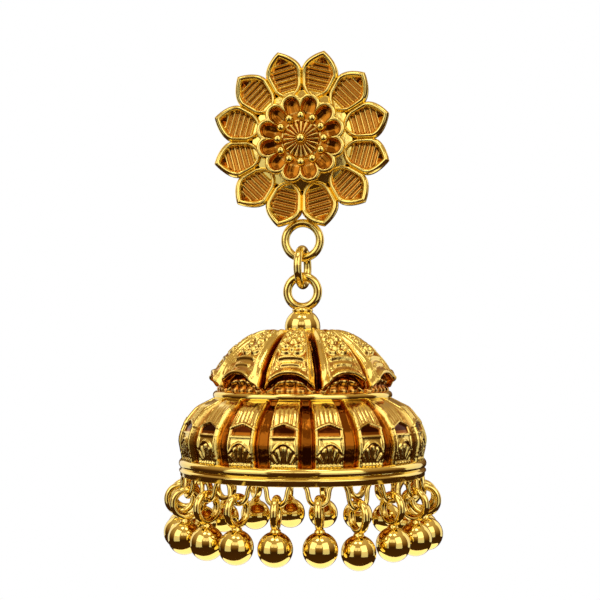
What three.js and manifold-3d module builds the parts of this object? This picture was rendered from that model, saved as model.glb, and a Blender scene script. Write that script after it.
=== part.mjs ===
// Jhumka earring: a flower stud with its ear post, a link ring, and a hollow two-tier bell
// whose skirt carries a row of ball drops.
// Millimetres, +Z up. The origin is the root of the ear post, on the back of its pad, where the
// earlobe sits. The flower faces -Y, the post points along +Y, and +X is to the right of someone
// who looks at the flower.
// Azimuths round the bell are measured from the front (-Y) towards +X.

import * as THREE from 'three';
import { mergeVertices } from 'three/addons/utils/BufferGeometryUtils.js';
import Module from 'manifold-3d';

const wasm = await Module();
wasm.setup();

const TURN = 2 * Math.PI;
const DEG = Math.PI / 180;

// ---------------------------------------------------------------- driving dimensions (mm)

// Clearance left between two rings that hang in each other.
const RING_CLEARANCE = 0.06;

const POST = {
  radius: 0.45,
  length: 10.5,
  tipLength: 0.5,
  tipRadius: 0.225,
  padRadius: 2.6,
  padThickness: 0.4,
  solderRadius: 0.95,
};

const FLOWER = {
  petals: 12,
  backY: -0.45,         // flat back, just in front of the post's pad
  plateThickness: 0.9,
  tipRadius: 10.4,
  notchRadius: 8.3,     // where two neighbouring petals part
  shoulderRadius: 9.9,  // control point of a petal's side
  shoulderAngle: 9.35,  // degrees from the petal's own axis
  flatRadius: 6.0,      // inside this the back is flat
  curl: 0.95,           // how far a tip stands forward of the flat back
  rimHeight: 0.35,
  rimWidth: 0.45,
  fieldShoulderAngle: 7.7,  // the same for the sunken field inside the rim
  fieldTipInset: 0.72,  // from a petal's tip to the point of its field
};

const CUP = { radius: 5.2, notchRadius: 4.6, wall: 0.55, floorY: -1.9, lipY: -2.9 };
const GRANULE = { count: 12, radius: 0.5, ringRadius: 2.75, standsOff: 0.25 };
const SUNBURST = { radius: 2.15, edge: 0.2, rise: 0.45, ballRadius: 0.62, ballStandsOff: 0.25 };
const SOLDER_DEPTH = 0.3;     // how far a cutter or a soldered foot passes its mating face

// The three rings of the suspension, each as wire radius and centre-line radius.
const FLOWER_RING = { wire: 0.475, radius: 2.0, z: -11.5 };
const LINK_RING = { wire: 0.46, radius: 2.08 };
const BELL_RING = { wire: 0.5, radius: 1.75 };
const HANG_Y = -0.9;    // plane through the ring soldered behind the petals, and the bell's axis

const FINIAL = {
  ballRadius: 2.03,
  ballZ: -21.4,
  collarTopRadius: 1.0,
  collarRadius: 1.25,
  collarFootRadius: 1.44,
  collarTopZ: -19.2,
  collarBevelZ: -19.5,
  collarFootZ: -20.18,
  undercutRadius: 2.75,   // the ball is cut away below the sheet by a sphere of this radius
};

const GORES = 10;       // raised panels of the upper dome
const GROOVE_DEPTH = 0.55;
const PANELS = 18;      // raised panels of the lower tier
const STRIP_HALF_ANGLE = 3.2;  // degrees, half of the smooth recessed strip between two panels
const STRIP_DEPTH = 0.45;
const STRIP_BEVEL_ANGLE = 0.4; // degrees, over which a panel's side slopes down to the strip

const UPPER_WIRE = { radius: 9.73, wire: 0.47, z: -29.1 };
const BAND = { radius: 13.45, wire: 0.55, z: -36.7 };
const SKIRT = { outer: 13.85, inner: 13.0, topZ: -36.9, bottomZ: -38.05 };

const EYELET = {
  count: 20,
  firstAngle: -3,       // azimuth of the first eyelet, degrees
  radius: 13.75,
  wire: 0.25,
  topZ: -38.1,          // centre of the wire at the arches
  bottomZ: -39.95,      // centre of the wire at the foot of each eyelet
  steepness: 0.75,      // 0 is a plain wave, towards 1 the sides stand upright
  stretched: 2,         // this eyelet has been pulled longer than the rest
  stretch: 0.5,
};

const DROP = {
  ringWire: 0.4,
  ringRadius: 1.45,
  ballRadius: 1.83,
  neckTopRadius: 0.37,
  neckRadius: 0.62,
  neckFootRadius: 0.74,
  neckInBall: 0.35,     // how far the neck is let into the ball
};

// Small irregularities of the hand-hung drops: twist of the ring about the vertical, swing of the
// whole drop along the rim, and swing away from the axis (degrees). Each is a wave round the rim,
// which moves on by stride radians from drop to drop, times its own beat.
const IRREGULAR = {
  stride: 2.4,
  twist: 9,
  twistBias: -4,
  sway: 1.6,
  swayBeat: 1.7,
  outwardMean: 1.8,
  outwardSwing: 1.2,
  outwardBeat: 1.3,
};

// ---------------------------------------------------------------- materials

function gold(colour, roughness) {
  return new THREE.MeshStandardMaterial({ color: colour, roughness, metalness: 1 });
}

const FINISH = {
  stud: gold(0xd8a028, 0.25),
  wire: gold(0xe0ac34, 0.15),
  bell: gold(0xcf9520, 0.28),
  ball: gold(0xe8b83c, 0.1),
};

// ---------------------------------------------------------------- solids

function solid(geometry) {
  const bare = geometry.index ? geometry.clone() : geometry;
  bare.deleteAttribute('normal');
  bare.deleteAttribute('uv');
  const welded = mergeVertices(bare, 1e-4);
  return new wasm.Manifold(new wasm.Mesh({
    numProp: 3,
    vertProperties: new Float32Array(welded.attributes.position.array),
    triVerts: new Uint32Array(welded.index.array),
  }));
}

function geometryOf(manifold) {
  const mesh = manifold.getMesh();
  const geometry = new THREE.BufferGeometry();
  geometry.setAttribute('position', new THREE.BufferAttribute(new Float32Array(mesh.vertProperties), 3));
  geometry.setIndex(new THREE.BufferAttribute(new Uint32Array(mesh.triVerts), 1));
  geometry.computeVertexNormals();
  return geometry;
}

function joined(geometries) {
  return geometries.map(solid).reduce((whole, part) => whole.add(part));
}

function piece(name, geometry, finish) {
  const mesh = new THREE.Mesh(geometry, finish);
  mesh.name = name;
  return mesh;
}

// Unit vector at an azimuth round the bell, seen from above.
function outward(degrees) {
  return new THREE.Vector3(Math.sin(degrees * DEG), -Math.cos(degrees * DEG), 0);
}

// A ring of round wire standing upright; turn is the azimuth that its plane points to.
function uprightRing(radius, wire, turn, wireSides, steps) {
  const ring = new THREE.TorusGeometry(radius, wire, wireSides, steps);
  ring.rotateX(Math.PI / 2);
  ring.rotateZ((turn - 90) * DEG);
  return ring;
}

// A ring of round wire lying level round the bell's axis.
function levelRing(radius, wire, z, wireSides, steps) {
  const ring = new THREE.TorusGeometry(radius, wire, wireSides, steps);
  ring.translate(0, 0, z);
  return ring;
}

// A body turned about the vertical. profile is a list of [radius, z], from the top of the outside
// down and back up the inside, closed or ending on the axis. shape moves each point of column c.
function turned(profile, columns, shape) {
  const points = profile.map(([radius, z]) => new THREE.Vector2(radius, z));
  const body = new THREE.LatheGeometry(points, columns);
  const place = body.attributes.position;
  for (let column = 0; column <= columns; column += 1) {
    for (let row = 0; row < profile.length; row += 1) {
      const { radius, z, azimuth } = shape(profile[row], row, column % columns);
      const at = outward(azimuth).multiplyScalar(radius);
      place.setXYZ(column * profile.length + row, at.x, at.y, z);
    }
  }
  return body;
}

// LatheGeometry winds its faces for one direction of turn, so this flips a body that came out
// inside out.
function facingOut(geometry) {
  const manifold = solid(geometry);
  if (manifold.volume() > 0) {
    return geometry;
  }
  const index = geometry.index.array;
  for (let corner = 0; corner < index.length; corner += 3) {
    [index[corner + 1], index[corner + 2]] = [index[corner + 2], index[corner + 1]];
  }
  return geometry;
}

// A body turned about the vertical with nothing cut into it.
function plainTurned(profile, columns) {
  return facingOut(turned(profile, columns, ([radius, z], row, column) => (
    { radius, z, azimuth: (column * 360) / columns })));
}

// ---------------------------------------------------------------- flower stud

// Point of the flower's face at a radius and an angle from straight up (degrees), clockwise.
function onFace(radius, degrees) {
  return new THREE.Vector2(radius * Math.sin(degrees * DEG), radius * Math.cos(degrees * DEG));
}

function petalSide(path, axisAngle, side) {
  const shoulder = onFace(FLOWER.shoulderRadius, axisAngle + side * FLOWER.shoulderAngle);
  const tip = onFace(FLOWER.tipRadius, axisAngle);
  const notch = onFace(FLOWER.notchRadius, (axisAngle + (side * 180) / FLOWER.petals) % 360);
  const end = side < 0 ? tip : notch;
  path.quadraticCurveTo(shoulder.x, shoulder.y, end.x, end.y);
}

function flowerOutline() {
  const step = 360 / FLOWER.petals;
  const outline = new THREE.Shape();
  const start = onFace(FLOWER.notchRadius, 0);
  outline.moveTo(start.x, start.y);
  for (let petal = 0; petal < FLOWER.petals; petal += 1) {
    const axisAngle = (petal + 0.5) * step;
    petalSide(outline, axisAngle, -1);
    petalSide(outline, axisAngle, 1);
  }
  return outline;
}

// The sunken field inside one petal's raised rim.
function petalField(axisAngle) {
  const half = 180 / FLOWER.petals;
  const rim = FLOWER.rimWidth;
  const root = CUP.radius - rim;
  const rootHalf = half - (rim / root) / DEG;
  const waistHalf = half - (rim / FLOWER.notchRadius) / DEG;
  const field = new THREE.Shape();
  const points = {
    rootLeft: onFace(root, axisAngle - rootHalf),
    waistLeft: onFace(FLOWER.notchRadius - rim, axisAngle - waistHalf),
    shoulderLeft: onFace(FLOWER.shoulderRadius - rim, axisAngle - FLOWER.fieldShoulderAngle),
    tip: onFace(FLOWER.tipRadius - FLOWER.fieldTipInset, axisAngle),
    shoulderRight: onFace(FLOWER.shoulderRadius - rim, axisAngle + FLOWER.fieldShoulderAngle),
    waistRight: onFace(FLOWER.notchRadius - rim, axisAngle + waistHalf),
    rootRight: onFace(root, axisAngle + rootHalf),
  };
  field.moveTo(points.rootLeft.x, points.rootLeft.y);
  field.lineTo(points.waistLeft.x, points.waistLeft.y);
  field.quadraticCurveTo(points.shoulderLeft.x, points.shoulderLeft.y, points.tip.x, points.tip.y);
  const { shoulderRight, waistRight } = points;
  field.quadraticCurveTo(shoulderRight.x, shoulderRight.y, waistRight.x, waistRight.y);
  field.lineTo(points.rootRight.x, points.rootRight.y);
  return field;
}

// An outline extruded forward from y = backY by depth, its outer part curled forward like a dish.
function pressed(outline, backY, depth, curveSegments) {
  const slab = new THREE.ExtrudeGeometry(outline, { depth, bevelEnabled: false, curveSegments });
  slab.rotateX(Math.PI / 2);
  const place = slab.attributes.position;
  for (let corner = 0; corner < place.count; corner += 1) {
    const radius = Math.hypot(place.getX(corner), place.getZ(corner));
    const reach = Math.max(0, radius - FLOWER.flatRadius) / (FLOWER.tipRadius - FLOWER.flatRadius);
    const curl = FLOWER.curl * reach * reach;
    place.setY(corner, backY + place.getY(corner) - curl);
  }
  return slab;
}

// A scalloped outline of the flower's inner cup, drawn as a run of arcs.
function cupOutline(inset) {
  const step = 360 / FLOWER.petals;
  const path = new THREE.Shape();
  const start = onFace(CUP.notchRadius - inset, 0);
  path.moveTo(start.x, start.y);
  for (let lobe = 0; lobe < FLOWER.petals; lobe += 1) {
    const bulge = onFace(2 * (CUP.radius - inset) - (CUP.notchRadius - inset) * Math.cos((step / 2) * DEG),
      (lobe + 0.5) * step);
    const end = onFace(CUP.notchRadius - inset, ((lobe + 1) * step) % 360);
    path.quadraticCurveTo(bulge.x, bulge.y, end.x, end.y);
  }
  return path;
}

function turnedToFront(points, segments) {
  const body = new THREE.LatheGeometry(points.map(([radius, y]) => new THREE.Vector2(radius, y)), segments);
  return facingOut(body);
}

function flowerStud() {
  const plateFront = FLOWER.backY - FLOWER.plateThickness;
  const over = SOLDER_DEPTH;
  let stud = solid(pressed(flowerOutline(), FLOWER.backY, FLOWER.plateThickness + FLOWER.rimHeight, 4));
  for (let petal = 0; petal < FLOWER.petals; petal += 1) {
    const field = petalField(((petal + 0.5) * 360) / FLOWER.petals);
    stud = stud.subtract(solid(pressed(field, plateFront, FLOWER.rimHeight + over, 4)));
  }
  const cup = solid(pressed(cupOutline(0), plateFront + over, plateFront + over - CUP.lipY, 4));
  const hollow = solid(pressed(cupOutline(CUP.wall), CUP.floorY, CUP.floorY + over - CUP.lipY, 4));
  stud = stud.add(cup.subtract(hollow));

  const parts = [];
  for (let grain = 0; grain < GRANULE.count; grain += 1) {
    const at = onFace(GRANULE.ringRadius, (grain * 360) / GRANULE.count);
    const ball = new THREE.SphereGeometry(GRANULE.radius, 6, 5);
    ball.translate(at.x, CUP.floorY - GRANULE.standsOff, at.y);
    parts.push(ball);
  }
  const discFront = CUP.floorY - SUNBURST.rise;
  parts.push(turnedToFront([
    [0, CUP.floorY + over],
    [SUNBURST.radius, CUP.floorY + over],
    [SUNBURST.radius, CUP.floorY - SUNBURST.edge],
    [SUNBURST.ballRadius, discFront],
    [0, discFront],
  ], 24));
  const boss = new THREE.SphereGeometry(SUNBURST.ballRadius, 12, 8);
  boss.translate(0, discFront - SUNBURST.ballStandsOff, 0);
  parts.push(boss);

  const ring = uprightRing(FLOWER_RING.radius, FLOWER_RING.wire, 90, 7, 24);
  ring.translate(0, HANG_Y, FLOWER_RING.z);
  parts.push(ring);
  return geometryOf(stud.add(joined(parts)));
}

// ---------------------------------------------------------------- ear post

function earPost() {
  return turnedToFront([
    [0, -POST.padThickness],
    [POST.padRadius, -POST.padThickness],
    [POST.padRadius, 0],
    [POST.solderRadius, 0],
    [POST.radius, POST.solderRadius - POST.radius],
    [POST.radius, POST.length - POST.tipLength],
    [POST.tipRadius, POST.length],
    [0, POST.length],
  ], 24);
}

// ---------------------------------------------------------------- link ring

const LINK_Z = FLOWER_RING.z - FLOWER_RING.radius + FLOWER_RING.wire + LINK_RING.wire + RING_CLEARANCE
  - LINK_RING.radius;
const BELL_RING_Z = LINK_Z - LINK_RING.radius + LINK_RING.wire + BELL_RING.wire + RING_CLEARANCE
  - BELL_RING.radius;

function linkRing() {
  const ring = uprightRing(LINK_RING.radius, LINK_RING.wire, 0, 7, 24);
  ring.translate(0, HANG_Y, LINK_Z);
  return ring;
}

// ---------------------------------------------------------------- bell

// Outside of the upper dome, down to its overhanging eave and the undercut below it.
const DOME_OUTSIDE = [
  [0, -21.9], [2.2, -21.9], [5.0, -22.2], [6.85, -23.2], [8.6, -24.8], [9.95, -26.3],
  [9.1, -27.5], [9.6, -29.6],
];
const DOME_GROOVED = { first: 2, last: 5 };   // rows that the grooves between the gores run through
const CROWN_INSIDE_Z = -22.7;
const DOME_INSIDE = [[8.8, -29.6], [8.4, -27.5], [7.6, -25.4], [6.0, -23.9], [4.4, -23.0], [0, CROWN_INSIDE_Z]];
const EAVE_ROW = 5;
const EAVE_ARCH = 0.9;  // how far the eave's edge rises at the middle of a gore

function dome() {
  const stepsPerGore = 4;
  const columns = GORES * stepsPerGore;
  const profile = [...DOME_OUTSIDE, ...DOME_INSIDE];
  return facingOut(turned(profile, columns, ([radius, z], row, column) => {
    const azimuth = (column * 360) / columns;
    const fromMiddle = Math.abs(((column + stepsPerGore / 2) % stepsPerGore) - stepsPerGore / 2);
    const atGroove = fromMiddle === stepsPerGore / 2;
    const grooved = atGroove && row >= DOME_GROOVED.first && row <= DOME_GROOVED.last;
    const arch = row === EAVE_ROW ? EAVE_ARCH * (1 - (fromMiddle / (stepsPerGore / 2)) ** 2) : 0;
    return { radius: grooved ? radius - GROOVE_DEPTH : radius, z: z + arch, azimuth };
  }));
}

// Outside of the lower tier, from under the upper wire down to the strip that the band covers.
const TIER_OUTSIDE = [
  [9.2, -29.0], [11.5, -30.4], [13.05, -32.1], [13.75, -33.8], [13.62, -35.0], [13.4, -36.2], [13.4, -37.4],
];
const TIER_SUNKEN = { first: 1, last: 5 };    // rows that the recessed strips run through
const TIER_INSIDE = [[12.7, -37.4], [12.75, -35.0], [12.85, -33.8], [12.2, -32.4], [10.9, -31.1], [8.7, -29.7]];

function tier() {
  const step = 360 / PANELS;
  const edge = step / 2 - STRIP_HALF_ANGLE;
  // Columns of one panel, in degrees from its middle: the panel, then the sunken strip to its right.
  const offsets = [-edge, edge, edge + STRIP_BEVEL_ANGLE, step - edge - STRIP_BEVEL_ANGLE];
  const profile = [...TIER_OUTSIDE, ...TIER_INSIDE, TIER_OUTSIDE[0]];
  return facingOut(turned(profile, PANELS * offsets.length, ([radius, z], row, column) => {
    const inPanel = column % offsets.length;
    const panel = (column - inPanel) / offsets.length;
    const sunken = inPanel >= 2 && row >= TIER_SUNKEN.first && row <= TIER_SUNKEN.last;
    return { radius: sunken ? radius - STRIP_DEPTH : radius, z, azimuth: panel * step + offsets[inPanel] };
  }));
}

function skirtStrip() {
  const profile = [
    [SKIRT.outer, SKIRT.topZ],
    [SKIRT.outer, SKIRT.bottomZ],
    [SKIRT.inner, SKIRT.bottomZ],
    [SKIRT.inner, SKIRT.topZ],
    [SKIRT.outer, SKIRT.topZ],
  ];
  return plainTurned(profile, 60);
}

// How much deeper than the rest an eyelet hangs.
function eyeletStretch(index) {
  return index === EYELET.stretched ? EYELET.stretch : 0;
}

// The wire below the skirt: a wave with upright sides that makes one U-shaped eyelet a period.
function eyeletWire() {
  const stepsPerEyelet = 8;
  const points = [];
  for (let index = 0; index < EYELET.count; index += 1) {
    for (let step = 0; step < stepsPerEyelet; step += 1) {
      const phase = step / stepsPerEyelet;        // 0 at the arch before the eyelet, 0.5 at its foot
      const lean = (EYELET.steepness / (2 * TURN)) * Math.sin(2 * TURN * phase);
      const azimuth = EYELET.firstAngle + ((index + phase - 0.5 + lean) * 360) / EYELET.count;
      const depth = 0.5 - 0.5 * Math.cos(TURN * phase);
      const foot = EYELET.bottomZ - eyeletStretch(index);
      const at = outward(azimuth).multiplyScalar(EYELET.radius);
      points.push(at.setZ(EYELET.topZ + (foot - EYELET.topZ) * depth));
    }
  }
  const path = new THREE.CatmullRomCurve3(points, true);
  return new THREE.TubeGeometry(path, points.length, EYELET.wire, 4, true);
}

function bell() {
  const ring = uprightRing(BELL_RING.radius, BELL_RING.wire, 90, 7, 24);
  ring.translate(0, 0, BELL_RING_Z);

  const collar = plainTurned([
    [0, FINIAL.collarTopZ],
    [FINIAL.collarTopRadius, FINIAL.collarTopZ],
    [FINIAL.collarRadius, FINIAL.collarBevelZ],
    [FINIAL.collarFootRadius, FINIAL.collarFootZ],
    [0, FINIAL.collarFootZ],
  ], 20);

  const ball = new THREE.SphereGeometry(FINIAL.ballRadius, 18, 12);
  ball.rotateX(Math.PI / 2);
  ball.translate(0, 0, FINIAL.ballZ);

  const whole = joined([
    ring,
    collar,
    ball,
    dome(),
    levelRing(UPPER_WIRE.radius, UPPER_WIRE.wire, UPPER_WIRE.z, 5, 40),
    tier(),
    levelRing(BAND.radius, BAND.wire, BAND.z, 6, 60),
    skirtStrip(),
    eyeletWire(),
  ]);
  // The finial ball is soldered through the dome's crown; below the sheet it is cut away.
  const cavity = new THREE.SphereGeometry(FINIAL.undercutRadius, 12, 8);
  cavity.rotateX(Math.PI / 2);
  cavity.translate(0, 0, CROWN_INSIDE_Z - FINIAL.undercutRadius);
  const geometry = geometryOf(whole.subtract(solid(cavity)));
  geometry.translate(0, HANG_Y, 0);
  return geometry;
}

// ---------------------------------------------------------------- ball drops

function ballDrop(index) {
  const azimuth = EYELET.firstAngle + (index * 360) / EYELET.count;
  const wobble = (index + 1) * IRREGULAR.stride;
  const hang = EYELET.bottomZ - eyeletStretch(index) + EYELET.wire + DROP.ringWire + RING_CLEARANCE;

  const ring = uprightRing(DROP.ringRadius, DROP.ringWire, 90, 5, 14);
  ring.translate(0, 0, -DROP.ringRadius);
  const ballZ = -2 * DROP.ringRadius - DROP.ringWire - DROP.ballRadius;
  const ball = new THREE.SphereGeometry(DROP.ballRadius, 10, 7);
  ball.rotateX(Math.PI / 2);
  ball.translate(0, 0, ballZ);
  const neckTop = -2 * DROP.ringRadius;
  const neckFoot = neckTop - DROP.ringWire - DROP.neckInBall;
  const neck = plainTurned([
    [0, neckTop],
    [DROP.neckTopRadius, neckTop],
    [DROP.neckRadius, neckTop - DROP.ringWire],
    [DROP.neckFootRadius, neckFoot],
    [0, neckFoot],
  ], 6);

  const geometry = geometryOf(joined([ring, neck, ball]));
  geometry.rotateZ((IRREGULAR.twistBias + IRREGULAR.twist * Math.sin(wobble)) * DEG);
  geometry.rotateX(IRREGULAR.sway * Math.sin(IRREGULAR.swayBeat * wobble) * DEG);
  const swing = IRREGULAR.outwardMean + IRREGULAR.outwardSwing * Math.cos(IRREGULAR.outwardBeat * wobble);
  geometry.rotateY(-swing * DEG);
  geometry.rotateZ((azimuth - 90) * DEG);
  const at = outward(azimuth).multiplyScalar(EYELET.radius);
  geometry.translate(at.x, at.y + HANG_Y, hang);
  return geometry;
}

// ---------------------------------------------------------------- assembly

const group = new THREE.Group();
group.add(piece('ear_post', earPost(), FINISH.wire));
group.add(piece('flower_stud', flowerStud(), FINISH.stud));
group.add(piece('link_ring', linkRing(), FINISH.wire));
group.add(piece('bell', bell(), FINISH.bell));
for (let index = 0; index < EYELET.count; index += 1) {
  const number = String(index + 1).padStart(2, '0');
  group.add(piece(`drop_${number}`, ballDrop(index), FINISH.ball));
}

export default group;
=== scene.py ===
"""Jhumka earring in gold-plated brass: flower stud, link ring, two-tier bell and ball drops.

Every piece is a surface worked out with numpy: a function of two parameters on a grid, or a
section carried along a path. Lengths are in millimetres until a mesh is written, in metres.
Azimuths round the bell are measured from the front (-Y) towards +X, in radians.
"""
import math

import bpy
import numpy as np
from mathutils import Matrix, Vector

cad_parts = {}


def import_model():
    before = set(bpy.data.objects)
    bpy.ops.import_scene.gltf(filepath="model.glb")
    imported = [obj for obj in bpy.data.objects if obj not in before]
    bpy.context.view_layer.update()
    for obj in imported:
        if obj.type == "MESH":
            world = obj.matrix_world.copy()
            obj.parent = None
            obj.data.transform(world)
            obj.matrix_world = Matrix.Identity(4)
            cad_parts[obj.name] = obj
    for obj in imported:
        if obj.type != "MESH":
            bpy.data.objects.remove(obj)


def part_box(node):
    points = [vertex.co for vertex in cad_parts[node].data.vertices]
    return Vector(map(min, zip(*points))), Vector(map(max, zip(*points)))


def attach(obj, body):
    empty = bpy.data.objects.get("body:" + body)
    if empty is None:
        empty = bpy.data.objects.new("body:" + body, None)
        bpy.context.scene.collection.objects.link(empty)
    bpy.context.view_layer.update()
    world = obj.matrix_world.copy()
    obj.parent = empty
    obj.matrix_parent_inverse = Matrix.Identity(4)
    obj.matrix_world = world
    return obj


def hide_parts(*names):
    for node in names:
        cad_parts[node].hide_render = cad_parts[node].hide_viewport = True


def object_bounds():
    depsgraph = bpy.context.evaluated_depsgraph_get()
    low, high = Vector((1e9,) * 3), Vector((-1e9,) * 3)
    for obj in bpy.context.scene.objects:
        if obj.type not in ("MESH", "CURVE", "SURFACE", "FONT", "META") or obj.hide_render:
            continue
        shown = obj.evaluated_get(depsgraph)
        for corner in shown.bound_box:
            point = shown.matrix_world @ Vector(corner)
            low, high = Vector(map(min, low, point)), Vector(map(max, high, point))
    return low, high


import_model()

CAD_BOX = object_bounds()

MM = 0.001
TURN = 2 * math.pi


# ---------------------------------------------------------------- driving dimensions (mm)

def cad_box(name):
    """Lowest and highest corner of a CAD node at rest, in millimetres."""
    return [np.array(corner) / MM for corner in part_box(name)]


LINK_MIDDLE = sum(cad_box("link_ring")) / 2
HANG_Y = LINK_MIDDLE[1]  # the bell's axis and the rings hang in this plane
STUD_BACK = -0.45        # flat back of the flower stud
STUD_FOOT = cad_box("flower_stud")[0][2]
POST_END = cad_box("ear_post")[1][1]
BELL_TOP = cad_box("bell")[1][2]

PETALS = 12
PETAL = dict(root=4.95, rounded_to=6.3, shoulder=8.0, tip=10.38, half_width=2.13, overlap=1.01,
             thickness=0.5, rim=0.35, rim_height=0.44)
RIB = dict(first=5.7, pitch=0.6, width=0.16, height=0.32, last=9.15)
DISH = dict(start=6.0, depth=0.95)     # the petals curve forward from this radius
LOBE = dict(centre=3.88, radius=1.34)
LIP_WIDTH = 0.29
COLLAR = 3.3             # radius where the scoops end and the granules' level ground begins
CUP_FLOOR = -1.95
CUP_LIP = -2.95
CUP_BACK = -0.9
GRANULE = dict(count=12, ring=2.66, radius=0.5)
SUNBURST = dict(rays=20, radius=2.2)
BOSS_RADIUS = 0.6

POST = dict(radius=0.45, pad=2.6, pad_thickness=0.4, solder=0.95)
FLOWER_RING = dict(radius=2.0, wire=0.475)
LINK_RING = dict(radius=2.08, wire=0.46, turn=8)
BELL_RING = dict(radius=1.75, wire=0.5)

BALL_TOP = dict(radius=2.03, z=-21.4)
GORES = 10
CROWN = -21.9
EAVE = dict(middle=-26.7, cusp=-28.7, arch=2.4)      # heights, and the power that rounds the arch
PANEL_SHARE = (0.64, 0.69)     # part of a gore that its raised panel takes, at the crown and the eave
GORE_RELIEF = dict(border=0.28, ground=0.18, groove=0.5, slit=0.7, lip=0.24, flare=0.42)
DOME_CURVE = [(1.5, CROWN), (3.2, -21.92), (5.0, -22.2), (6.9, -23.25), (8.6, -24.8), (9.7, -26.3),
              (9.95, -27.6), (9.8, -28.85)]
DOME_INSIDE = [(8.8, -29.3), (8.3, -27.6), (7.55, -25.6), (6.0, -24.0), (4.4, -23.1), (1.5, -22.75),
               (0, -22.75)]
WALL = dict(radius=9.3, foot=-28.95, lumps_around=50, lump_height=0.95)     # under the eaves
UPPER_WIRE = dict(radius=9.73, wire=0.47, z=-29.1)

TIER_PANELS = 18
TIER_PANEL_HALF = math.radians(6.35)
TIER_CURVE = [(9.3, -29.2), (10.4, -29.65), (11.7, -30.45), (13.05, -32.1), (13.7, -33.8), (13.6, -35.0),
              (13.42, -35.9), (13.35, -36.9)]
TIER_INSIDE = [(12.9, -37.4), (12.75, -36.0), (12.7, -33.8), (12.0, -32.4), (10.8, -31.1), (8.8, -29.7),
               (8.9, -29.0)]
STRIP = dict(depth=0.6, wall=0.34)       # the sunken strips between the panels
PANEL_PROUD = 0.08
PANEL = dict(top=-29.9, pointed_arch=-31.9, eye_foot=-32.95, sill=-33.12, round_arch=-33.75, fan_foot=-35.75,
             beads=-36.0, fan_centre=-36.9)
BAND = dict(radius=13.45, wire=0.55, z=-36.7)
SKIRT = [(13.0, -36.9), (13.6, -36.9), (13.8, -37.3), (13.95, -37.42), (13.95, -37.55), (13.82, -37.66),
         (13.82, -38.0), (13.74, -38.08), (13.1, -38.08), (13.0, -38.0)]

EYELETS = 20
EYELET = dict(first=math.radians(-3), radius=13.75, lean_in=0.3, wire=0.26, top=-37.7, foot=-39.95,
              steepness=0.75, stretched=2, stretch=0.5)
DROP = dict(ring=1.45, wire=0.4, ball=1.83)
RING_CLEARANCE = 0.05
IRREGULAR = dict(twist=9, twist_bias=-4, sway=1.6, outward=3.0)      # degrees

# The studio, in metres.
TABLE = dict(half_x=0.055, half_y=0.046, centre_y=0.027, z=-0.085)
EYE = (0.019, -0.133, -0.0245)
HALF_VIEW = math.radians(14.4)


# ---------------------------------------------------------------- grids and meshes

def outward(azimuth):
    """Level unit vectors at these azimuths: (sin, -cos, 0)."""
    azimuth = np.asarray(azimuth, float)
    return np.stack([np.sin(azimuth), -np.cos(azimuth), np.zeros_like(azimuth)], -1)


def smoothstep(low, high, value):
    """0 below low, 1 above high, and 3t^2 - 2t^3 between them."""
    t = np.clip((value - low) / (high - low), 0, 1)
    return t * t * (3 - 2 * t)


def through(points, count):
    """Catmull-Rom curve through the points, resampled to count points at equal arc length."""
    p = np.asarray(points, float)
    ends = np.vstack([2 * p[0] - p[1], p, 2 * p[-1] - p[-2]])
    t = np.linspace(0, len(p) - 1 - 1e-9, 40 * len(p))
    i, f = t.astype(int), (t % 1)[:, None]
    a, b, c, d = (ends[i + k] for k in range(4))
    fine = 0.5 * (2 * b + (c - a) * f + (2 * a - 5 * b + 4 * c - d) * f**2 + (3 * b - a - 3 * c + d) * f**3)
    along = np.concatenate([[0], np.cumsum(np.linalg.norm(np.diff(fine, axis=0), axis=1))])
    wanted = np.linspace(0, along[-1], count)
    return np.stack([np.interp(wanted, along, fine[:, k]) for k in range(p.shape[1])], -1), wanted


def shell(points, painted_recess_shade=0.0, wrap_rows=False):
    """A closed skin over a grid of points (rows x columns x 3), with poles and seams welded.

    The last column always meets the first, and with wrap_rows the last row does too. recess says,
    The second argument says, from 0 to 1, how much painted shade each point gets; the hollows of the relief
    get most. Faces point outwards.
    """
    rows, columns = points.shape[:2]
    flat = points.reshape(-1, 3)
    deep = np.broadcast_to(np.asarray(painted_recess_shade, float), (rows, columns)).reshape(-1)
    i, j = np.meshgrid(np.arange(rows if wrap_rows else rows - 1), np.arange(columns), indexing="ij")
    i2, j2 = (i + 1) % rows, (j + 1) % columns
    quads = np.stack([i * columns + j, i * columns + j2, i2 * columns + j2, i2 * columns + j], -1)
    quads = quads.reshape(-1, 4)
    _, first, same = np.unique(np.round(flat, 5), axis=0, return_index=True, return_inverse=True)
    flat, deep, quads = flat[first], deep[first], same.reshape(-1)[quads]
    repeats = quads == np.roll(quads, -1, axis=1)
    quads = quads[repeats.sum(1) <= 1]
    corners = flat[quads]
    volume = np.einsum("ij,ij->i", corners[:, 0], np.cross(corners[:, 1], corners[:, 2])).sum()
    volume += np.einsum("ij,ij->i", corners[:, 0], np.cross(corners[:, 2], corners[:, 3])).sum()
    if volume < 0:
        quads = quads[:, ::-1]
    return flat, quads, deep


def moved(skin, matrix=np.eye(3), offset=(0, 0, 0)):
    """The skin turned by a 3x3 matrix, then shifted by offset."""
    points, quads, deep = skin
    return points @ np.asarray(matrix).T + np.asarray(offset), quads, deep


def turn(axis, degrees):
    """Rotation matrix about "x", "y" or "z", by the right-hand rule."""
    a, b = [i for i in range(3) if i != "xyz".index(axis)]
    if axis == "y":
        a, b = b, a
    c, s = math.cos(math.radians(degrees)), math.sin(math.radians(degrees))
    matrix = np.eye(3)
    matrix[a, a] = matrix[b, b] = c
    matrix[a, b], matrix[b, a] = -s, s
    return matrix


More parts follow.
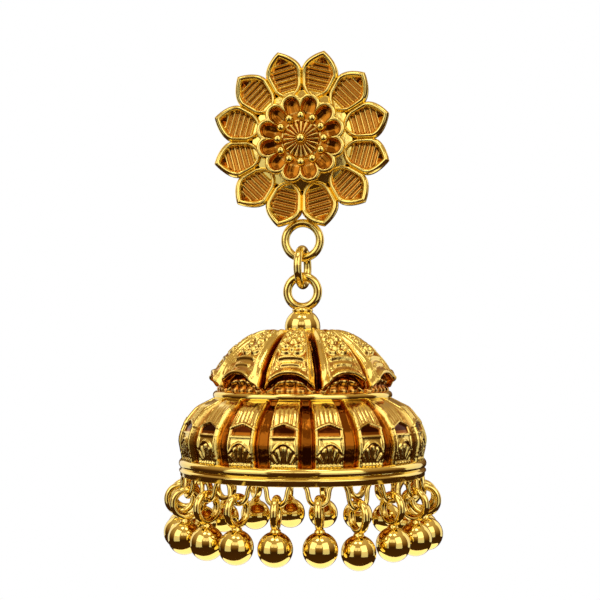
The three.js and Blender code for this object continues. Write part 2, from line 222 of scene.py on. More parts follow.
def piece(name, skins, material, body, slot, *nodes):
    """One object from several closed skins. It rides on body and stands for the CAD nodes."""
    points = np.vstack([s[0] for s in skins])
    deep = np.concatenate([s[2] for s in skins])
    start = np.cumsum([0] + [len(s[0]) for s in skins[:-1]])
    quads = np.vstack([s[1] + k for s, k in zip(skins, start)])
    repeats = quads == np.roll(quads, -1, axis=1)
    whole = quads[~repeats.any(1)]
    pinched = quads[repeats.any(1)]
    keep = ~repeats[repeats.any(1)]
    loops = np.concatenate([whole.ravel(), pinched[keep]])
    sizes = np.concatenate([np.full(len(whole), 4), np.full(len(pinched), 3)])
    mesh = bpy.data.meshes.new(name)
    mesh.vertices.add(len(points))
    mesh.vertices.foreach_set("co", (points * MM).astype(np.float32).ravel())
    mesh.loops.add(len(loops))
    mesh.loops.foreach_set("vertex_index", loops.astype(np.int32))
    mesh.polygons.add(len(sizes))
    mesh.polygons.foreach_set("loop_start", np.concatenate([[0], np.cumsum(sizes)[:-1]]).astype(np.int32))
    mesh.update(calc_edges=True)
    mesh.validate()
    mesh.shade_smooth()
    # per-point amount of painted shade, which darkens the gold's base colour
    mesh.attributes.new("painted_recess_shade", "FLOAT", "POINT").data.foreach_set("value", deep.astype(np.float32))
    mesh.materials.append(material)
    obj = bpy.data.objects.new(name, mesh)
    bpy.context.scene.collection.objects.link(obj)
    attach(obj, body)
    if nodes:
        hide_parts(*nodes)


def carried(path, radius, reference, sides):
    """A round section carried along a closed path.

    Each ring lies in the plane of n1 = reference made square to the tangent, and n2 = tangent x n1.
    """
    tangent = np.roll(path, -1, axis=0) - np.roll(path, 1, axis=0)
    tangent /= np.linalg.norm(tangent, axis=1)[:, None]
    n1 = reference - (reference * tangent).sum(1)[:, None] * tangent
    n1 /= np.linalg.norm(n1, axis=1)[:, None]
    n2 = np.cross(tangent, n1)
    around = np.linspace(0, TURN, sides, endpoint=False)[None, :, None]
    ring = path[:, None] + radius * (np.cos(around) * n1[:, None] + np.sin(around) * n2[:, None])
    return shell(ring, wrap_rows=True)


def ring_of_wire(radius, wire, steps=72, sides=18):
    """A torus standing in the XZ plane round the origin."""
    a = np.linspace(0, TURN, steps, endpoint=False)
    path = np.stack([radius * np.sin(a), 0 * a, radius * np.cos(a)], -1)
    return carried(path, wire, np.broadcast_to([0.0, 1.0, 0.0], path.shape), sides)


def turned(profile, columns=48):
    """A profile of (radius, z) turned about the vertical. It starts and ends on the axis."""
    azimuth = np.linspace(0, TURN, columns, endpoint=False)
    at = outward(azimuth)[None] * profile[:, 0, None, None]
    at[..., 2] = profile[:, 1, None]
    return shell(at)


def ball(radius, centre=(0, 0, 0), columns=40, rows=28):
    """A sphere: radius r sin t, height r cos t, for t from 0 to half a turn."""
    t = np.linspace(0, math.pi, rows)
    return moved(turned(radius * np.stack([np.sin(t), np.cos(t)], -1), columns), offset=centre)


FACE_FORWARD = turn("x", 90)      # turns a body made round +Z so that its +Z looks along -Y


# ---------------------------------------------------------------- materials

def linear(colour):
    """sRGB hex to the linear numbers that the shader works in."""
    parts = [int(colour[k:k + 2], 16) / 255 for k in (1, 3, 5)]
    return tuple(p / 12.92 if p <= 0.04045 else ((p + 0.055) / 1.055) ** 2.4 for p in parts) + (1.0,)


def node(tree, kind, links=None, **settings):
    """Adds a node. Settings are its properties, or inputs where the name is one; links feed inputs."""
    made = tree.nodes.new(kind)
    for key, value in settings.items():
        name = key.replace("_", " ")
        if hasattr(made, key):
            setattr(made, key, value)
        else:
            made.inputs[name].default_value = value
    for key, source in (links or {}).items():
        tree.links.new(source, made.inputs[key])
    return made


CLOUD_MM = 2.2             # plating and handling leave the gloss uneven over a couple of millimetres
BUMP_DEPTH = 0.1 * MM


def gold_plate(name, face, depth, roughness, ripple_mm, ripple, wear=0.06):
    """Gold plate over brass. face is the polished metal; depth is a darker, redder colour painted into the
    relief as painted shade.

    Roughness varies by wear, and the surface ripples over ripple_mm. The real ripple is about a
    tenth of a millimetre, too fine to show, so it is drawn a few times coarser.
    """
    material = bpy.data.materials.new(name)
    material.use_nodes = True
    tree = material.node_tree
    shader = tree.nodes["Principled BSDF"]
    shader.inputs["Metallic"].default_value = 1.0
    place = node(tree, "ShaderNodeTexCoord").outputs["Object"]
    # painted shade: the mesh's per-point shade amount darkens and reddens the base colour in the relief
    painted_recess_shade = node(tree, "ShaderNodeAttribute", attribute_name="painted_recess_shade").outputs["Fac"]
    cloud = node(tree, "ShaderNodeTexNoise", {"Vector": place}, Scale=1 / (CLOUD_MM * MM), Detail=3.0)
    shade = node(tree, "ShaderNodeValToRGB", {"Fac": painted_recess_shade})
    stops = shade.color_ramp.elements
    stops.new(0.6)
    for stop, colour in zip(stops, (face, depth, DEEPEST_PAINTED_SHADE)):
        stop.color = linear(colour)
    tone = node(tree, "ShaderNodeHueSaturation", {"Color": shade.outputs["Color"]})
    value = node(tree, "ShaderNodeMapRange", {"Value": cloud.outputs["Fac"]}, To_Min=0.94, To_Max=1.05)
    tree.links.new(value.outputs["Result"], tone.inputs["Value"])
    tree.links.new(tone.outputs["Color"], shader.inputs["Base Color"])
    rough = node(tree, "ShaderNodeMapRange", {"Value": cloud.outputs["Fac"]},
                 To_Min=roughness - wear / 2, To_Max=roughness + wear / 2)
    tree.links.new(rough.outputs["Result"], shader.inputs["Roughness"])
    waves = node(tree, "ShaderNodeTexNoise", {"Vector": place}, Scale=1 / (ripple_mm * MM), Detail=2.0)
    bump = node(tree, "ShaderNodeBump", {"Height": waves.outputs["Fac"]},
                Strength=ripple, Distance=BUMP_DEPTH)
    tree.links.new(bump.outputs["Normal"], shader.inputs["Normal"])
    return material


GOLD_FACE = "#FFE47E"
DEEPEST_PAINTED_SHADE = "#451B05"        # painted shade in the deepest, narrowest hollows of the relief
# Stamped sheet, barrel polished: the edges catch the light and the relief stays softer; the browner colour in
# it is painted shade.
stamped_gold = gold_plate("gold_plate_on_stamped_brass", GOLD_FACE, "#C27A20", 0.17, 0.7, 0.25)
# Lost-wax cast and embossed: a faint casting ripple breaks up the highlights under the polish.
cast_gold = gold_plate("gold_plate_on_cast_brass", GOLD_FACE, "#BE701A", 0.16, 0.6, 0.35)
# Drawn wire: smooth along its length, so a lamp shows as one unbroken line.
wire_gold = gold_plate("gold_plate_on_drawn_wire", "#FFE480", "#C9781E", 0.11, 1.4, 0.12, 0.04)
# Small balls, tumbled to a mirror with the odd shallow dent: each shows the whole studio.
ball_gold = gold_plate("gold_plate_on_tumbled_balls", "#FFE480", "#C9781E", 0.08, 2.4, 0.25, 0.03)


# ---------------------------------------------------------------- flower stud

def dish(radius):
    """How far the stud's surface stands forward at a radius: level inside, then a parabola."""
    reach = np.clip((radius - DISH["start"]) / (PETAL["tip"] - DISH["start"]), 0, None)
    return DISH["depth"] * reach**2


def petal():
    """One petal pointing up, as a closed section round each step from root to tip.

    Half width: the wedge line x tan 15 up to the shoulder, rounded off at the root, and
    W (1 - t^2)^0.92 from shoulder to tip. The front has a rolled rim, level ribs across the
    sunken field, and a bare hollow behind the tip.
    """
    steps, across, back = 110, 39, 9
    x = PETAL["root"] + (PETAL["tip"] - PETAL["root"]) * (1 - np.cos(np.linspace(0, math.pi, steps))) / 2
    wedge = x * math.tan(math.pi / PETALS) * PETAL["overlap"]
    short = (PETAL["rounded_to"] - x).clip(0) / (PETAL["rounded_to"] - PETAL["root"])
    rounding = np.sqrt(np.clip(1 - short**2, 0, 1))
    t = ((x - PETAL["shoulder"]) / (PETAL["tip"] - PETAL["shoulder"])).clip(0)
    ogive = (1 - t**2) ** 0.92
    half = np.minimum(wedge, PETAL["half_width"]) * rounding * ogive
    v = np.sin(np.linspace(-math.pi / 2, math.pi / 2, across))[None]
    a = half[:, None] * v
    xx = np.broadcast_to(x[:, None], a.shape)
    slope = np.gradient(half, x)
    near = (half[:, None] - np.abs(a)) / np.sqrt(1 + np.clip(slope, -4, 4)[:, None] ** 2)
    rim = PETAL["rim"] * (1 + 0.35 * smoothstep(7.0, 9.5, xx))
    bead = (1 - np.clip(np.abs(near - 0.9 * rim) / (0.9 * rim), 0, 1) ** 2.2) * PETAL["rim_height"]
    field = smoothstep(1.35 * rim, 2.0 * rim, near)
    from_rib = ((xx - RIB["first"]) / RIB["pitch"]) % 1 - 0.5
    ribs = np.exp(-((from_rib / RIB["width"]) ** 2)) * smoothstep(RIB["last"] + 0.15, RIB["last"], xx)
    pocket = smoothstep(RIB["last"], RIB["last"] + 0.35, xx) * 0.3
    inside = field * (RIB["height"] * ribs - 0.26 - pocket)
    height = PETAL["thickness"] + 0.16 + bead + inside - 0.06 * (1 - v**2)
    # painted shade: the sunken field between the ribs and the hollow behind the tip are coloured darker
    deep = field * ((1 - ribs) * 0.54 + 0.2 * pocket)
    under = np.linspace(1, -1, back)[None] * half[:, None]
    xb = np.broadcast_to(x[:, None], under.shape)
    section_a = np.concatenate([a, under], 1)
    section_x = np.concatenate([xx, xb], 1)
    lift = np.concatenate([height, np.zeros_like(under)], 1) + dish(section_x)
    points = np.stack([section_a, STUD_BACK - 0.28 - lift, section_x], -1)
    return shell(points, np.concatenate([deep, np.zeros_like(under)], 1))


def cup():
    """The scalloped cup, as a closed section for each angle round the flower.

    The rim is the union of twelve circles. From each circle's outer arc a rolled lip slopes
    inwards, then drops into a scoop that opens towards the centre, with a thin ridge between
    neighbours; further in lie the granules' collar and the fluted sunburst.
    """
    columns, rows = 24 * PETALS, 84
    angle = np.linspace(0, TURN, columns, endpoint=False)
    lobe = (np.floor(angle / (TURN / PETALS)) + 0.5) * TURN / PETALS
    off = angle - lobe
    c, rho = LOBE["centre"], LOBE["radius"]
    edge = c * np.cos(off) + np.sqrt(rho**2 - (c * np.sin(off)) ** 2)
    r = np.linspace(0, 1, rows)[:, None] ** 0.8 * edge[None]
    inwards = rho - np.hypot((r * np.cos(off) - c).clip(0), r * np.sin(off))
    outer = smoothstep(COLLAR - 0.35, COLLAR, r)
    bead = np.sqrt(np.clip(1 - (inwards / LIP_WIDTH - 1) ** 2, 0, 1))
    drop = 0.8 * smoothstep(0.4, 0.7, inwards) + 0.2 * smoothstep(0.7, 1.3, inwards)
    height = (CUP_FLOOR - CUP_LIP) * (0.7 * (1 - drop) + 0.3 * bead)
    height *= smoothstep(COLLAR - 0.6, COLLAR, r)
    scoop = smoothstep(0.48, 0.68, inwards) * outer
    burst = smoothstep(SUNBURST["radius"], SUNBURST["radius"] - 0.15, r)
    flutes = np.abs(np.cos(angle * SUNBURST["rays"] / 2)) ** 1.2
    height += burst * (0.05 + 0.3 * (1 - r / SUNBURST["radius"]) + 0.2 * flutes * smoothstep(0.4, 0.9, r))
    ground = smoothstep(SUNBURST["radius"], SUNBURST["radius"] + 0.15, r) * (1 - outer)
    # painted shade: the scoops, the grooves between the sunburst's flutes and the ground round the granules
    # are coloured darker
    deep = np.maximum.reduce([0.7 * scoop, burst * (1 - 0.8 * flutes) * 0.85, 0.6 * ground])
    y = CUP_FLOOR - height
    rows_out = [edge + 0.03, edge - 0.02, edge - 0.3, edge - 0.5]
    y_out = [y[-1] + 0.1, y[-1] + 0.3, np.full(columns, CUP_BACK - 0.45), np.full(columns, CUP_BACK)]
    r = np.vstack([r, *rows_out, np.zeros(columns)])
    y = np.vstack([y, *y_out, np.full(columns, CUP_BACK)])
    # a trace of painted shade on the back rows
    deep = np.vstack([deep, 0.05 * np.ones((5, columns))])
    return shell(np.stack([r * np.sin(angle), y, r * np.cos(angle)], -1), deep)


def stud_plate():
    """The disc behind the petals: flat back, slightly stepped front."""
    front = STUD_BACK - 0.95
    profile = [(0, STUD_BACK), (7.8, STUD_BACK), (7.95, STUD_BACK - 0.1), (7.95, STUD_BACK - 0.22),
               (7.8, STUD_BACK - 0.3), (5.95, STUD_BACK - 0.35), (5.85, front + 0.1), (5.7, front),
               (0, front)]
    skin = turned(np.array([(r, -y) for r, y in profile]), 96)
    return moved(skin, FACE_FORWARD)


def at_clock(radius, turn_degrees, y):
    """Point of the flower at a radius and an angle from straight up."""
    a = math.radians(turn_degrees)
    return (radius * math.sin(a), y, radius * math.cos(a))


def flower_stud():
    """Petals turned round the flower; cup, plate, granules, boss and the ring soldered behind."""
    one = petal()
    step = 360 / PETALS
    piece("stamped_petals", [moved(one, turn("y", step * (k + 0.5))) for k in range(PETALS)], stamped_gold,
          "stud", "stud_gold", "flower_stud")
    skins = [cup(), stud_plate()]
    grain = GRANULE["radius"]
    for k in range(GRANULE["count"]):
        centre = at_clock(GRANULE["ring"], 360 * k / GRANULE["count"], CUP_FLOOR - 0.9 * grain)
        skins.append(ball(grain, centre, 20, 14))
    skins.append(ball(BOSS_RADIUS, (0, CUP_FLOOR - 0.42 - 0.45 * BOSS_RADIUS, 0), 28, 18))
    ring = ring_of_wire(**FLOWER_RING)
    ring_z = STUD_FOOT + FLOWER_RING["radius"] + FLOWER_RING["wire"]
    skins.append(moved(ring, offset=(0, HANG_Y, ring_z)))
    piece("cup_and_plate", skins, stamped_gold, "stud", "stud_gold")


def ear_post():
    """Pin and pad: a profile turned about the post's own axis."""
    tip = np.linspace(0, math.pi / 2, 8)
    end = np.stack([POST["radius"] * np.cos(tip), POST_END - POST["radius"] * (1 - np.sin(tip))], -1)
    profile = np.array([(0, -POST["pad_thickness"]), (POST["pad"] - 0.1, -POST["pad_thickness"]),
                        (POST["pad"], -0.3), (POST["pad"], -0.1), (POST["pad"] - 0.1, 0),
                        (POST["solder"], 0), (0.62, 0.12), (POST["radius"], 0.45)])
    skin = turned(np.vstack([profile, end]), 40)
    piece("post_and_pad", [moved(skin, turn("x", -90))], wire_gold, "stud", "wire_gold", "ear_post")


def link_ring():
    """Hangs square to its neighbours but for a small turn about the vertical."""
    ring = moved(ring_of_wire(LINK_RING["radius"], LINK_RING["wire"]), turn("z", 90 - LINK_RING["turn"]))
    skin = moved(ring, offset=LINK_MIDDLE)
    piece("jump_ring", [skin], wire_gold, "link", "wire_gold", "link_ring")


# ---------------------------------------------------------------- bell: relief

def dot(a, s, at, radius, height):
    """A round boss: height times (1 - d^2) inside its radius."""
    d2 = ((a - at[0]) ** 2 + (s - at[1]) ** 2) / radius**2
    return height * np.clip(1 - d2, 0, 1) ** 0.6


def curl(a, s, centre, radius, start, sweep, width, height):
    """A raised thread along an arc, from angle start over sweep (degrees, from +a towards +s)."""
    angle = np.degrees(np.arctan2(s - centre[1], a - centre[0]))
    along = (angle - start) % 360
    past = along > sweep
    along = np.where(past, np.where(along > (360 + sweep) / 2, 0, sweep), along)
    near = np.radians(start + along)
    d = np.hypot(a - centre[0] - radius * np.cos(near), s - centre[1] - radius * np.sin(near))
    return height * np.exp(-((d / width) ** 2))


def bar(a, s, at, half, width, height, sag):
    """A level raised bar, half long each way, bowed by sag times a squared."""
    near = s - at - sag * a**2
    return height * np.exp(-((near / width) ** 2)) * smoothstep(half, half - 0.3, np.abs(a))


def gore_motif(a, s):
    """Embossed flowers and scrolls on a gore, over two brow-like bars.

    a is the distance from the gore's middle line and s the distance down from the crown.
    """
    m = np.abs(a)
    strokes = [
        dot(a, s, (0, 2.95), 0.5, 0.44),
        dot(m, s, (0.72, 3.45), 0.5, 0.46),
        dot(a, s, (0, 4.15), 0.5, 0.48),
        curl(m, s, (0.86, 4.75), 0.5, 80, 300, 0.24, 0.52),
        dot(a, s, (0, 5.5), 0.58, 0.54),
        dot(m, s, (1.15, 6.0), 0.52, 0.5),
        curl(m, s, (0.66, 6.95), 0.54, 175, 310, 0.26, 0.54),
        dot(m, s, (1.72, 7.05), 0.52, 0.48),
        bar(a, s, 8.15, 1.6, 0.32, 0.5, 0.12),
        bar(a, s, 9.05, 1.25, 0.27, 0.4, 0.16),
        dot(m, s, (1.92, 8.6), 0.46, 0.42),
        dot(m, s, (1.5, 9.6), 0.36, 0.26),
    ]
    return np.maximum.reduce(strokes)


def dome():
    """Ten gores. Along a gore the crown's curve runs down to an eave that arches between cusps.

    Each column stops at its own arc length S(v) = S0 + (S1 - S0) |v|^2.4, where v runs from -1
    to 1 across the gore; the skin then turns under the eave, runs down a grained wall to the
    wire, and returns inside. Between two gores the relief falls in a wall and then a slit.
    """
    per_gore, rows = 60, 96
    columns = GORES * per_gore
    azimuth = np.linspace(0, TURN, columns, endpoint=False)
    pitch = TURN / GORES
    off = (azimuth + pitch / 2) % pitch - pitch / 2
    v = off / (pitch / 2)
    curve, along = through(DOME_CURVE, 400)
    s_middle = np.interp(-EAVE["middle"], -curve[:, 1], along)
    s_cusp = np.interp(-EAVE["cusp"], -curve[:, 1], along)
    arch = 1 - np.abs(v) ** EAVE["arch"]
    reach = s_cusp + (s_middle - s_cusp) * arch
    s = np.linspace(0, 1, rows)[:, None] * reach[None]
    r = np.interp(s, along, curve[:, 0])
    z = np.interp(s, along, curve[:, 1])
    nr = -np.interp(s, along, np.gradient(curve[:, 1], along))
    nz = np.interp(s, along, np.gradient(curve[:, 0], along))
    a = r * off[None]
    w = np.abs(v)[None]
    share = PANEL_SHARE[0] + (PANEL_SHARE[1] - PANEL_SHARE[0]) * s / s_middle
    groove = np.clip((w - share) / (1 - share), 0, 1)
    fade = smoothstep(1.2, 2.8, s)
    inside = (share - w) * r * pitch / 2          # millimetres in from the panel's edge
    border = GORE_RELIEF["border"] * np.exp(-(((inside - 0.14) / 0.15) ** 2))
    panel = smoothstep(0.05, 0.3, inside)
    to_eave = reach[None] - s
    lip = np.exp(-(((to_eave - 0.2) / 0.2) ** 2))
    flare = GORE_RELIEF["flare"] * smoothstep(1.3, 0.0, to_eave) ** 1.5
    motif = gore_motif(a, s) * smoothstep(0.3, 0.6, to_eave)
    slit = smoothstep(0.42, 0.24, (1 - w) * r * pitch / 2)
    relief = np.maximum(border, panel * (motif - GORE_RELIEF["ground"])) + GORE_RELIEF["lip"] * lip * panel
    relief += flare - GORE_RELIEF["groove"] * groove - GORE_RELIEF["slit"] * slit
    relief *= fade
    # painted shade on the bare ground between the motifs, in the slits and in the grooves
    bare = panel * (1 - np.clip(motif / 0.2, 0, 1)) * (1 - lip)
    ground = 0.72 - 0.3 * smoothstep(7.4, 8.4, s)      # painted shade, darker between the close scrolls than low down
    deep = fade * np.maximum.reduce([ground * bare, slit, 0.08 * smoothstep(0, 0.3, groove)])
    top = outward(azimuth)[None] * (r + nr * relief)[..., None]
    top[..., 2] = z + nz * relief

    r_edge, z_edge = np.hypot(top[-1, :, 0], top[-1, :, 1]), top[-1, :, 2]
    down = np.linspace(0, 1, 14)[:, None]
    wall_z = z_edge + 0.1 + (WALL["foot"] - z_edge - 0.1) * down
    lump_row = math.pi * (wall_z - WALL["foot"] - 0.5) / WALL["lump_height"]
    grain = np.abs(np.cos(azimuth * WALL["lumps_around"] / 2) * np.cos(lump_row)) ** 0.8
    brow = np.exp(-(((wall_z - z_edge[None] + 0.75) / 0.16) ** 2)) * arch
    wall_r = WALL["radius"] + 0.15 * down + 0.34 * grain * smoothstep(0.1, 0.3, down) + 0.25 * brow
    wall = outward(azimuth)[None] * wall_r[..., None]
    wall[..., 2] = wall_z
    turn_under = outward(azimuth)[None] * np.stack([r_edge - 0.1, r_edge - 0.22])[..., None]
    turn_under[..., 2] = np.stack([z_edge - 0.1, z_edge])
    # painted shade: darker just under the eave and between the lumps, lighter on the brow
    wall_deep = np.maximum(0.75 * smoothstep(0.3, 0.0, down), 0.3 + 0.4 * (1 - grain)) * (1 - 0.7 * brow)
    inner = inside_of(DOME_INSIDE, azimuth)
    crown = np.zeros((1, columns, 3))
    crown[..., 2] = CROWN
    points = np.concatenate([crown, top, turn_under, wall, inner])
    # painted shade: the turn under the eave and the inside of the dome are coloured darker
    shade = np.concatenate([np.zeros((1, columns)), deep, np.full((2, columns), 0.6),
                            np.broadcast_to(wall_deep, wall_z.shape), np.full((len(inner), columns), 0.5)])
    return shell(points, shade)


def inside_of(profile, azimuth):
    """Plain rows (radius, z) for the inner side of a bell."""
    rows = np.array([outward(azimuth) * r for r, _ in profile])
    rows[..., 2] = np.array([z for _, z in profile])[:, None]
    return rows


def tier_motif(a, z, half):
    """The lower panels, top to bottom: hatching under a low pointed arch, a dark eye, a plain plate,
    and a palmette of fingers under a round arch, over a row of beads. a runs across, in mm."""
    m = np.abs(a)
    pointed = PANEL["pointed_arch"] - 0.5 * (m / 1.4) ** 1.2
    rounded = PANEL["round_arch"] - 1.2 * (m / 1.4) ** 2
    above = smoothstep(0, 0.15, z - pointed)
    hatch = 0.1 * np.cos(TURN * a / 0.46) * above * smoothstep(PANEL["top"] - 0.1, PANEL["top"] - 0.7, z)
    upper_thread = 0.3 * np.exp(-(((z - pointed - 0.05) / 0.15) ** 2))
    eye = smoothstep(0.0, -0.12, z - pointed) * smoothstep(-0.07, 0.07, z - PANEL["eye_foot"])
    eye = eye * smoothstep(half - 0.22, half - 0.36, m)
    sill = 0.16 * np.exp(-(((z - PANEL["sill"]) / 0.14) ** 2))
    lower_thread = 0.26 * np.exp(-(((z - rounded) / 0.13) ** 2)) * smoothstep(-35.0, -34.7, z)
    under = smoothstep(0.0, -0.12, z - rounded) * smoothstep(-0.05, 0.05, z - PANEL["fan_foot"])
    rise = z - PANEL["fan_centre"]
    angle = np.degrees(np.arctan2(a, rise))
    fingers = np.abs(np.cos(math.pi * angle / 15.5)) ** 0.7 * smoothstep(0.05, 0.35, rounded - z)
    fingers = 0.44 * fingers - 0.36 + 0.05 * np.hypot(a, rise)
    across = ((a / 0.42 + 0.5) % 1 - 0.5) / 0.46
    beads = 0.26 * np.sqrt(np.clip(1 - ((z - PANEL["beads"]) / 0.2) ** 2 - across**2, 0, 1))
    border = 0.24 * np.exp(-(((half - 0.15 - m) / 0.12) ** 2))
    border = border * smoothstep(PANEL["top"], PANEL["top"] - 0.9, z)
    relief = np.maximum(hatch, upper_thread) + sill + lower_thread * (1 - eye)
    relief = np.maximum(relief - 0.5 * eye + under * fingers + beads, border)
    # painted shade in the eye, between the fingers and between the hatch lines
    between_fingers = under * np.clip(-fingers / 0.2, 0, 1)
    between_hatches = 0.5 * above * np.clip(-hatch / 0.1, 0, 1)
    upper_eye = eye * smoothstep(PANEL["eye_foot"], PANEL["eye_foot"] + 0.35, z)
    deep = np.maximum.reduce([upper_eye, 0.8 * eye, between_fingers, between_hatches])
    return relief, deep


def tier():
    """Eighteen raised panels round a bulging profile, with a smooth sunken strip between each two.

    A strip falls from the panel's edge over a third of a millimetre to a level floor.
    """
    per_panel, rows = 42, 104
    columns = TIER_PANELS * per_panel
    azimuth = np.linspace(0, TURN, columns, endpoint=False)
    pitch = TURN / TIER_PANELS
    off = (azimuth + pitch / 2) % pitch - pitch / 2
    curve, along = through(TIER_CURVE, rows)
    r, z = curve[:, :1], curve[:, 1:]
    nr = -np.gradient(curve[:, 1], along)[:, None]
    nz = np.gradient(curve[:, 0], along)[:, None]
    a = r * off[None]
    half = r * TIER_PANEL_HALF
    relief, deep = tier_motif(a, z, half)
    past = np.abs(a) - half
    sunken = PANEL_PROUD - (PANEL_PROUD + STRIP["depth"]) * smoothstep(0.0, STRIP["wall"], past)
    relief = np.where(past > 0, sunken, relief + PANEL_PROUD)
    # painted shade: the floor of each sunken strip is coloured darker
    deep = np.where(past > 0, 0.82 * smoothstep(0.05, 0.3, past), deep)
    fade = smoothstep(0.3, 0.8, along)[:, None]
    relief = relief * fade
    at = outward(azimuth)[None] * (r + nr * relief)[..., None]
    at[..., 2] = z + nz * relief
    inner = inside_of(TIER_INSIDE, azimuth)
    points = np.concatenate([at, inner])
    # painted shade on the inside of the tier
    shade = np.concatenate([deep, np.full((len(inner), columns), 0.5)])
    return shell(points, shade, wrap_rows=True)


def level_ring(radius, wire, z):
    """Wire bent round the bell's axis: a level torus."""
    a = np.linspace(0, TURN, 240, endpoint=False)
    around = np.linspace(0, TURN, 16, endpoint=False)
    r = radius + wire * np.cos(around)
    points = outward(a)[:, None] * r[None, :, None]
    points[..., 2] = z + wire * np.sin(around)[None]
    return shell(points, wrap_rows=True)


def skirt_strip():
    """The plain strip under the band, with a thin second edge at its top."""
    profile = np.array(SKIRT)
    a = np.linspace(0, TURN, 240, endpoint=False)
    points = outward(a)[:, None] * profile[None, :, 0, None]
    points[..., 2] = profile[None, :, 1]
    return shell(points, wrap_rows=True)


def eyelet_wire():
    """The wavy wire. Azimuth runs as phase + k sin(2 phase), so the sides of each U stand upright;
    height runs as a cosine from the arches, soldered behind the skirt, to the foot of each U."""
    per_eyelet = 32
    n = EYELETS * per_eyelet
    step = np.arange(n) / per_eyelet
    index, phase = np.floor(step), step % 1
    lean = EYELET["steepness"] / (2 * TURN) * np.sin(2 * TURN * phase)
    azimuth = EYELET["first"] + (index + phase - 0.5 + lean) * TURN / EYELETS
    foot = EYELET["foot"] - np.where(index == EYELET["stretched"], EYELET["stretch"], 0)
    depth = 0.5 - 0.5 * np.cos(TURN * phase)
    path = outward(azimuth) * (EYELET["radius"] - EYELET["lean_in"] * (1 - depth))[:, None]
    path[:, 2] = EYELET["top"] + (foot - EYELET["top"]) * depth
    return carried(path, EYELET["wire"], outward(azimuth), 12)


def finial():
    """Bell ring, collar, ball and the ball's foot on the crown, each a torus or a turned profile."""
    waist, _ = through([(0.75, -19.15), (1.05, -19.3), (1.2, -19.55), (1.1, -19.75), (1.3, -19.95),
                        (1.45, -20.15)], 24)
    collar = np.vstack([[(0, -19.15)], waist, [(0, -20.3)]])
    foot = np.array([(0, -21.6), (1.95, -21.75), (2.2, -21.9), (2.2, -22.1), (0, -22.2)])
    ring = ring_of_wire(**BELL_RING)
    ring_z = BELL_TOP - BELL_RING["radius"] - BELL_RING["wire"]
    return [moved(ring, offset=(0, 0, ring_z)), turned(collar), turned(foot, 60),
            ball(BALL_TOP["radius"], (0, 0, BALL_TOP["z"]), 56, 40)]


def on_axis(skins):
    """Shifts skins made round the origin's vertical on to the bell's own axis."""
    return [moved(skin, offset=(0, HANG_Y, 0)) for skin in skins]


def bell():
    """Four pieces, soldered together on the real one, so all ride on the bell."""
    fine = [*finial(), level_ring(**UPPER_WIRE)]
    rim = [level_ring(**BAND), skirt_strip(), eyelet_wire()]
    piece("embossed_dome", on_axis([dome()]), cast_gold, "bell", "bell_gold", "bell")
    piece("embossed_tier", on_axis([tier()]), cast_gold, "bell", "bell_gold")
    piece("finial_and_wire", on_axis(fine), wire_gold, "bell", "bell_gold")
    piece("band_and_eyelets", on_axis(rim), wire_gold, "bell", "bell_gold")


def ball_drop(index):
    """Ring, neck and ball, hung from its eyelet with a small twist and swing of its own."""
    wobble = (index + 1) * 2.4
    ring = moved(ring_of_wire(DROP["ring"], DROP["wire"], 48, 14), offset=(0, 0, -DROP["ring"]))
    top = -2 * DROP["ring"]
    ball_z = top - DROP["wire"] - DROP["ball"]
    neck, _ = through([(0.3, top - 0.1), (0.5, top - 0.25), (0.58, top - 0.45), (0.75, top - 0.62),
                       (0.95, top - 0.75)], 14)
    neck = np.vstack([[(0, top)], neck, [(0, top - 0.9)]])
    skins = [ring, turned(neck, 24), ball(DROP["ball"], (0, 0, ball_z))]
    place = turn("z", IRREGULAR["twist_bias"] + IRREGULAR["twist"] * math.sin(wobble))
    place = turn("x", IRREGULAR["sway"] * math.sin(1.7 * wobble)) @ place
    place = turn("y", -IRREGULAR["outward"] * (0.6 + 0.4 * math.cos(1.3 * wobble))) @ place
    azimuth = EYELET["first"] + TURN * index / EYELETS
    place = turn("z", math.degrees(azimuth) - 90) @ place
    x, y, _ = outward(azimuth) * EYELET["radius"]
    foot = EYELET["foot"] - (EYELET["stretch"] if index == EYELET["stretched"] else 0)
    hang = foot + EYELET["wire"] + DROP["wire"] + RING_CLEARANCE
    skins = [moved(skin, place, (x, y + HANG_Y, hang)) for skin in skins]
    number = f"{index + 1:02d}"
    piece("ball_drop_" + number, skins, ball_gold, "bell", "ball_gold", "drop_" + number)


# ---------------------------------------------------------------- stage, light and camera

def floor():
    """A white table top below and behind the earring: a flat ellipse."""
    mesh = bpy.data.meshes.new("table_top")
    a = np.linspace(0, TURN, 96, endpoint=False)
    rim = np.stack([TABLE["half_x"] * np.cos(a), TABLE["centre_y"] + TABLE["half_y"] * np.sin(a),
                    0 * a + TABLE["z"]], -1)
    mesh.from_pydata(rim.tolist(), [], [range(len(a))])
    material = bpy.data.materials.new("white_card")
    material.use_nodes = True
    shader = material.node_tree.nodes["Principled BSDF"]
    shader.inputs["Base Color"].default_value = linear("#E8E8E8")
    shader.inputs["Roughness"].default_value = 0.9
    shader.inputs["Emission Color"].default_value = (1, 1, 1, 1)
    shader.inputs["Emission Strength"].default_value = 0.7
    mesh.materials.append(material)
    top = bpy.data.objects.new("table_top", mesh)
    bpy.context.scene.collection.objects.link(top)


def softbox(name, position, target, width, height, radiance):
    """A rectangular diffuse lamp. Its power is pi times area times the radiance wanted."""
    light = bpy.data.lights.new(name, "AREA")
    light.shape = "RECTANGLE"
    light.size, light.size_y = width, height
    light.energy = math.pi * width * height * radiance
    lamp = bpy.data.objects.new(name, light)
    lamp.location = position
    lamp.rotation_euler = (Vector(target) - Vector(position)).to_track_quat("-Z", "Y").to_euler()
    lamp.visible_camera = False
    bpy.context.scene.collection.objects.link(lamp)


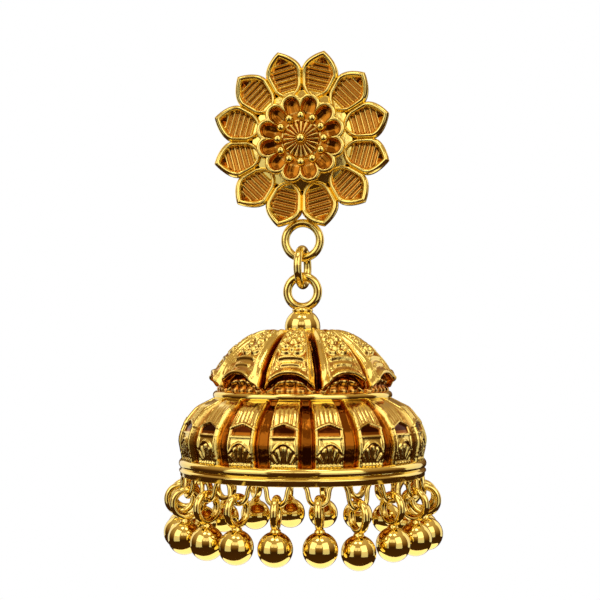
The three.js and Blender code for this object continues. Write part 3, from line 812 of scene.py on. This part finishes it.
def world():
    """White behind the earring; the room that the metal reflects is dim and warm, lighter overhead."""
    made = bpy.data.worlds.new("studio")
    made.use_nodes = True
    tree = made.node_tree
    tree.nodes.clear()
    place = node(tree, "ShaderNodeTexCoord").outputs["Generated"]
    height = node(tree, "ShaderNodeSeparateXYZ", {"Vector": place}).outputs["Z"]
    share = node(tree, "ShaderNodeMapRange", {"Value": height}, From_Min=-1.0, From_Max=1.0).outputs["Result"]
    ramp = node(tree, "ShaderNodeValToRGB", {"Fac": share})
    room = ((0.0, "#43290F"), (0.42, "#38220F"), (0.52, "#64441F"), (0.68, "#9A7C58"), (1.0, "#CDB28E"))
    stops = ramp.color_ramp.elements
    for _ in room[2:]:
        stops.new(0.5)
    for stop, (position, colour) in zip(stops, room):
        stop.position = position
        stop.color = linear(colour)
    dim = node(tree, "ShaderNodeBackground", {"Color": ramp.outputs["Color"]}, Strength=1.0)
    white = node(tree, "ShaderNodeBackground", Color=(1, 1, 1, 1), Strength=1.0)
    seen = node(tree, "ShaderNodeLightPath").outputs["Is Camera Ray"]
    mix = node(tree, "ShaderNodeMixShader", {0: seen, 1: dim.outputs[0], 2: white.outputs[0]})
    node(tree, "ShaderNodeOutputWorld", {"Surface": mix.outputs[0]})
    bpy.context.scene.world = made


# Each lamp has a twin on the other side. Lengths in metres.
LAMPS = [
    dict(name="softbox", x=0.15, y=-0.15, z=0.085, width=0.165, height=0.15, radiance=1.35),
    dict(name="low_card", x=0.155, y=-0.16, z=-0.045, width=0.165, height=0.13, radiance=0.65),
    dict(name="front_card", x=0.03, y=-0.16, z=0.045, width=0.055, height=0.06, radiance=0.75),
    dict(name="top_lamp", x=0.045, y=-0.07, z=0.16, width=0.05, height=0.05, radiance=3.2),
    dict(name="back_softbox", x=0.18, y=0.16, z=0.02, width=0.16, height=0.26, radiance=0.8),
]


def studio():
    """Five pairs of soft lamps that face the middle of the earring."""
    middle = (0, 0, -0.022)
    for side, word in ((-1, "left"), (1, "right")):
        for lamp in LAMPS:
            position = (lamp["x"] * side, lamp["y"], lamp["z"])
            name = word + "_" + lamp["name"]
            softbox(name, position, middle, lamp["width"], lamp["height"], lamp["radiance"])


def camera():
    """Close to the earring, a little to its right and below its flower, as the eye meets it."""
    data = bpy.data.cameras.new("camera")
    data.sensor_width = 36
    data.lens = data.sensor_width / 2 / math.tan(HALF_VIEW)
    data.clip_start, data.clip_end = 0.005, 5
    eye = bpy.data.objects.new("camera", data)
    low, high = CAD_BOX
    eye.location = EYE
    target = Vector((-0.0003, HANG_Y * MM, (low.z + high.z) / 2))
    eye.rotation_euler = (target - eye.location).to_track_quat("-Z", "Y").to_euler()
    bpy.context.scene.collection.objects.link(eye)
    bpy.context.scene.camera = eye


# ---------------------------------------------------------------- everything

flower_stud()
ear_post()
link_ring()
bell()
for drop in range(EYELETS):
    ball_drop(drop)
floor()
world()
studio()
camera()
bpy.context.scene.view_settings.view_transform = "Standard"
